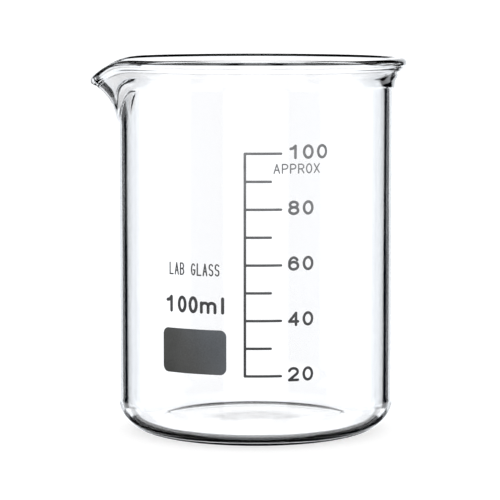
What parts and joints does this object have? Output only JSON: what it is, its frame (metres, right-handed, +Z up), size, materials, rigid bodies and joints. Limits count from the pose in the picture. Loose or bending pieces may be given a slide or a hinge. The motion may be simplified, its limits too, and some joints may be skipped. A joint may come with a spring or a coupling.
{
  "type": "laboratory beaker",
  "caption": "Low-form glass laboratory beaker with a flared beaded rim, a pouring spout, a printed volume scale and a marking panel.",
  "frame": {"origin": "centre of the foot ring, on the plane that the beaker stands on", "axes": "+Z up along the vessel's axis, spout towards -X, printed scale facing -Y"},
  "size_m": [0.0591, 0.0564, 0.07],
  "materials": {
    "borosilicate_glass": "polished clear",
    "grey_enamel": "fired matt enamel",
    "panel_enamel": "fired matt enamel, rougher for pencil"
  },
  "bodies": {
    "root": {"glass_vessel": "borosilicate_glass", "graduation_scale": "grey_enamel", "numeral_20": "grey_enamel", "numeral_40": "grey_enamel", "numeral_60": "grey_enamel", "numeral_80": "grey_enamel", "numeral_100": "grey_enamel", "approx_lettering": "grey_enamel", "glass_type_lettering": "grey_enamel", "capacity_lettering": "grey_enamel", "marking_panel": "panel_enamel"}
  },
  "joints": []
}
